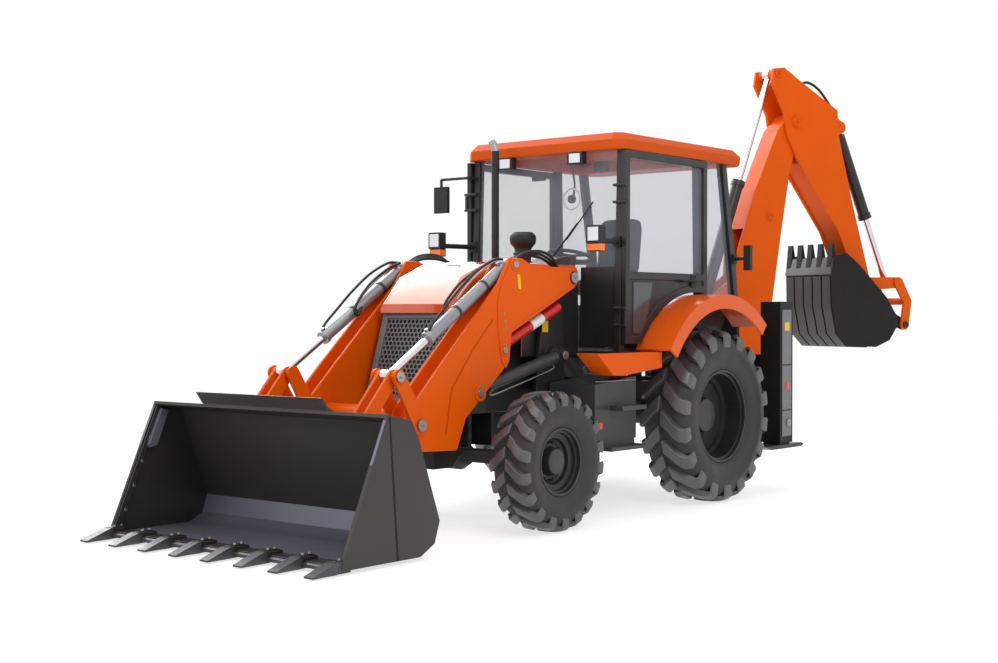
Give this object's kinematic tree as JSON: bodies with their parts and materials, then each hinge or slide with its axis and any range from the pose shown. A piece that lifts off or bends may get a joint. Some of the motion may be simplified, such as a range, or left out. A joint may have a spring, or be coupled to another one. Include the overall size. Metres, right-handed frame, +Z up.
{
  "type": "backhoe loader",
  "caption": "Wheeled backhoe loader with a glazed cab, a toothed front bucket on lift arms, stabiliser legs and a side-shift digging arm folded behind.",
  "frame": {"origin": "on the ground under the middle of the machine's length and width", "axes": "+X forward, +Y to the left, +Z up"},
  "size_m": [8.2848, 2.24, 3.85],
  "materials": {
    "orange_paint": "gloss enamel",
    "black_paint": "satin enamel",
    "grey_paint": "satin enamel",
    "silver_paint": "satin enamel",
    "red_paint": "gloss enamel",
    "chrome": "polished",
    "tyre": "matte",
    "glass": "clear",
    "seat": "woven",
    "plastic": "moulded",
    "iron": "painted",
    "bucket_steel": "satin"
  },
  "bodies": {
    "front_wheel_left": {"front_tyre_left": "tyre", "front_rim_left": "black_paint"},
    "rear_wheel_left": {"rear_tyre_left": "tyre", "rear_rim_left": "black_paint"},
    "knuckle_left": {"knuckle_left": "black_paint"},
    "door_left": {"door_left": "grey_paint", "door_glass_left": "glass"},
    "stabiliser_left": {"stabiliser_left": "black_paint"},
    "front_wheel_right": {"front_tyre_right": "tyre", "front_rim_right": "black_paint"},
    "rear_wheel_right": {"rear_tyre_right": "tyre", "rear_rim_right": "black_paint"},
    "knuckle_right": {"knuckle_right": "black_paint"},
    "door_right": {"door_right": "grey_paint", "door_glass_right": "glass"},
    "stabiliser_right": {"stabiliser_right": "black_paint"},
    "loader_arms": {"loader_arms": "orange_paint", "safety_strut": "red_paint"},
    "hood": {"hood": "orange_paint"},
    "lift_barrels": {"lift_barrels": "silver_paint"},
    "lift_rods": {"lift_rods": "chrome"},
    "tilt_barrels": {"tilt_barrels": "silver_paint"},
    "tilt_rods": {"tilt_rods": "chrome"},
    "tilt_levers": {"tilt_levers": "orange_paint"},
    "tilt_links": {"tilt_links": "orange_paint"},
    "loader_bucket": {"loader_bucket": "bucket_steel"},
    "carriage": {"carriage": "black_paint"},
    "kingpost": {"kingpost": "black_paint"},
    "boom": {"boom": "orange_paint"},
    "boom_barrel": {"boom_barrel": "black_paint"},
    "boom_rod": {"boom_rod": "chrome"},
    "dipper": {"dipper": "orange_paint"},
    "dipper_barrel": {"dipper_barrel": "black_paint"},
    "dipper_rod": {"dipper_rod": "chrome"},
    "hoe_barrel": {"hoe_barrel": "black_paint"},
    "hoe_rod": {"hoe_rod": "chrome"},
    "guide_links": {"guide_links": "orange_paint"},
    "power_link": {"power_link": "orange_paint"},
    "hoe_bucket": {"hoe_bucket": "bucket_steel"},
    "root": {"axles": "iron", "cab_floor": "black_paint", "cab_glass": "glass", "cab_pillars": "grey_paint", "cab_roof": "orange_paint", "console": "plastic", "cowl": "black_paint", "engine": "iron", "fenders": "orange_paint", "grille": "grey_paint", "lamps": "plastic", "main_frame": "black_paint", "mirrors": "plastic", "rear_frame": "black_paint", "seat": "seat", "side_tanks": "grey_paint", "skirts": "orange_paint", "stacks": "black_paint"}
  },
  "joints": [
    {"name": "steer_left", "type": "hinge", "parent": "root", "child": "knuckle_left", "pos_m": [1.725, 0.7, 0.491], "axis": [0, 0, 1], "range_deg": [-32, 32]},
    {"name": "front_wheel_left", "type": "hinge", "parent": "knuckle_left", "child": "front_wheel_left", "pos_m": [1.725, 0.94, 0.491], "axis": [0, 1, 0], "continuous": true},
    {"name": "rear_wheel_left", "type": "hinge", "parent": "root", "child": "rear_wheel_left", "pos_m": [-0.448, 0.89, 0.697], "axis": [0, 1, 0], "continuous": true},
    {"name": "door_left", "type": "hinge", "parent": "root", "child": "door_left", "pos_m": [0.576, 0.803, 2], "axis": [0, 0, -1], "range_deg": [0, 85]},
    {"name": "stabiliser_left", "type": "slide", "parent": "root", "child": "stabiliser_left", "axis": [0, 0, -1], "range_m": [0, 0.52]},
    {"name": "steer_right", "type": "hinge", "parent": "root", "child": "knuckle_right", "pos_m": [1.725, -0.7, 0.491], "axis": [0, 0, 1], "range_deg": [-33, 33]},
    {"name": "front_wheel_right", "type": "hinge", "parent": "knuckle_right", "child": "front_wheel_right", "pos_m": [1.725, -0.94, 0.491], "axis": [0, 1, 0], "continuous": true},
    {"name": "rear_wheel_right", "type": "hinge", "parent": "root", "child": "rear_wheel_right", "pos_m": [-0.448, -0.89, 0.697], "axis": [0, 1, 0], "continuous": true},
    {"name": "door_right", "type": "hinge", "parent": "root", "child": "door_right", "pos_m": [0.576, -0.803, 2], "axis": [0, 0, 1], "range_deg": [0, 85]},
    {"name": "stabiliser_right", "type": "slide", "parent": "root", "child": "stabiliser_right", "axis": [0, 0, -1], "range_m": [0, 0.52]},
    {"name": "hood_lift", "type": "hinge", "parent": "root", "child": "hood", "pos_m": [1.304, 0, 1.909], "axis": [0, -1, 0], "range_deg": [0, 60]},
    {"name": "loader_lift", "type": "hinge", "parent": "root", "child": "loader_arms", "pos_m": [0.962, 0, 1.797], "axis": [0, -1, 0], "range_deg": [-1.8, 77]},
    {"name": "lift_barrel_turn", "type": "hinge", "parent": "root", "child": "lift_barrels", "pos_m": [1.015, 0, 1.21], "axis": [0, -1, 0], "range_deg": [-3.66, 73.08]},
    {"name": "lift_rod_run", "type": "slide", "parent": "lift_barrels", "child": "lift_rods", "axis": [0.9738, 0, -0.2273], "range_m": [-0.02207, 0.73513]},
    {"name": "bucket_tilt", "type": "hinge", "parent": "loader_arms", "child": "loader_bucket", "pos_m": [2.992, 0, 0.43], "axis": [0, 1, 0], "range_deg": [-45, 85]},
    {"name": "tilt_lever_turn", "type": "hinge", "parent": "loader_arms", "child": "tilt_levers", "pos_m": [2.687, 0, 0.78], "axis": [0, 1, 0], "range_deg": [-47, 87]},
    {"name": "tilt_link_turn", "type": "hinge", "parent": "loader_bucket", "child": "tilt_links", "pos_m": [3.197, 0, 0.759], "axis": [0, 1, 0], "range_deg": [-87, 47]},
    {"name": "tilt_barrel_turn", "type": "hinge", "parent": "loader_arms", "child": "tilt_barrels", "pos_m": [1.664, 0, 1.878], "axis": [0, -1, 0], "range_deg": [-7.65, 4.99]},
    {"name": "tilt_rod_run", "type": "slide", "parent": "tilt_barrels", "child": "tilt_rods", "axis": [0.8475, 0, -0.5307], "range_m": [-0.25187, 0.47131]},
    {"name": "side_shift", "type": "slide", "parent": "root", "child": "carriage", "axis": [0, 1, 0], "range_m": [-0.54, 0.54]},
    {"name": "swing", "type": "hinge", "parent": "carriage", "child": "kingpost", "pos_m": [-1.828, 0, 0.9], "axis": [0, 0, -1], "range_deg": [-112, 68]},
    {"name": "boom_fold", "type": "hinge", "parent": "kingpost", "child": "boom", "pos_m": [-2.27305, 0.17981, 0.95], "axis": [-0.3746, -0.9272, 0], "range_deg": [0, 97]},
    {"name": "boom_barrel_turn", "type": "hinge", "parent": "kingpost", "child": "boom_barrel", "pos_m": [-1.99953, 0.0693, 1.195], "axis": [0.3746, 0.9272, 0], "range_deg": [-91.94, 2]},
    {"name": "boom_rod_run", "type": "slide", "parent": "boom_barrel", "child": "boom_rod", "axis": [-0.352, 0.1422, 0.9251], "range_m": [-0.005, 0.55766]},
    {"name": "dipper_fold", "type": "hinge", "parent": "boom", "child": "dipper", "pos_m": [-2.75333, 0.37386, 3.349], "axis": [0.3746, 0.9272, 0], "range_deg": [0, 100]},
    {"name": "dipper_barrel_turn", "type": "hinge", "parent": "boom", "child": "dipper_barrel", "pos_m": [-1.84654, 0.00749, 1.64], "axis": [0.3746, 0.9272, 0], "range_deg": [-2, 3.54]},
    {"name": "dipper_rod_run", "type": "slide", "parent": "dipper_barrel", "child": "dipper_rod", "axis": [-0.309, 0.1248, 0.9428], "range_m": [-0.76159, 0.005]},
    {"name": "hoe_bucket_curl", "type": "hinge", "parent": "dipper", "child": "hoe_bucket", "pos_m": [-3.72873, 0.76794, 1.53], "axis": [0.3746, 0.9272, 0], "range_deg": [0, 105]},
    {"name": "guide_link_turn", "type": "hinge", "parent": "dipper", "child": "guide_links", "pos_m": [-3.59985, 0.71587, 1.821], "axis": [0.3746, 0.9272, 0], "range_deg": [-2, 100.01]},
    {"name": "power_link_turn", "type": "hinge", "parent": "hoe_bucket", "child": "power_link", "pos_m": [-3.99297, 0.87471, 1.42], "axis": [0.3746, 0.9272, 0], "range_deg": [-79.86, 2]},
    {"name": "hoe_barrel_turn", "type": "hinge", "parent": "dipper", "child": "hoe_barrel", "pos_m": [-3.32077, 0.60312, 3.34], "axis": [0.3746, 0.9272, 0], "range_deg": [-9.75, 2]},
    {"name": "hoe_rod_run", "type": "slide", "parent": "hoe_barrel", "child": "hoe_rod", "axis": [-0.3652, 0.1476, -0.9191], "range_m": [-0.47949, 0.005]}
  ],
  "couplings": [
    {"joint": "steer_right", "follows": "steer_left", "ratio": 1},
    {"joint": "lift_barrel_turn", "follows": "loader_lift", "ratio": 0.92305},
    {"joint": "lift_rod_run", "follows": "loader_lift", "m_per_rad": 0.54329},
    {"joint": "tilt_lever_turn", "follows": "bucket_tilt", "ratio": 1},
    {"joint": "tilt_link_turn", "follows": "bucket_tilt", "ratio": -1},
    {"joint": "tilt_barrel_turn", "follows": "bucket_tilt", "ratio": -0.066483},
    {"joint": "tilt_rod_run", "follows": "bucket_tilt", "m_per_rad": 0.31432},
    {"joint": "boom_barrel_turn", "follows": "boom_fold", "ratio": -0.92723},
    {"joint": "boom_rod_run", "follows": "boom_fold", "m_per_rad": 0.32645},
    {"joint": "dipper_barrel_turn", "follows": "dipper_fold", "ratio": 0.015408},
    {"joint": "dipper_rod_run", "follows": "dipper_fold", "m_per_rad": -0.43349},
    {"joint": "guide_link_turn", "follows": "hoe_bucket_curl", "ratio": 0.93344},
    {"joint": "power_link_turn", "follows": "hoe_bucket_curl", "ratio": -0.74152},
    {"joint": "hoe_barrel_turn", "follows": "hoe_bucket_curl", "ratio": -0.073835},
    {"joint": "hoe_rod_run", "follows": "hoe_bucket_curl", "m_per_rad": -0.25892}
  ]
}
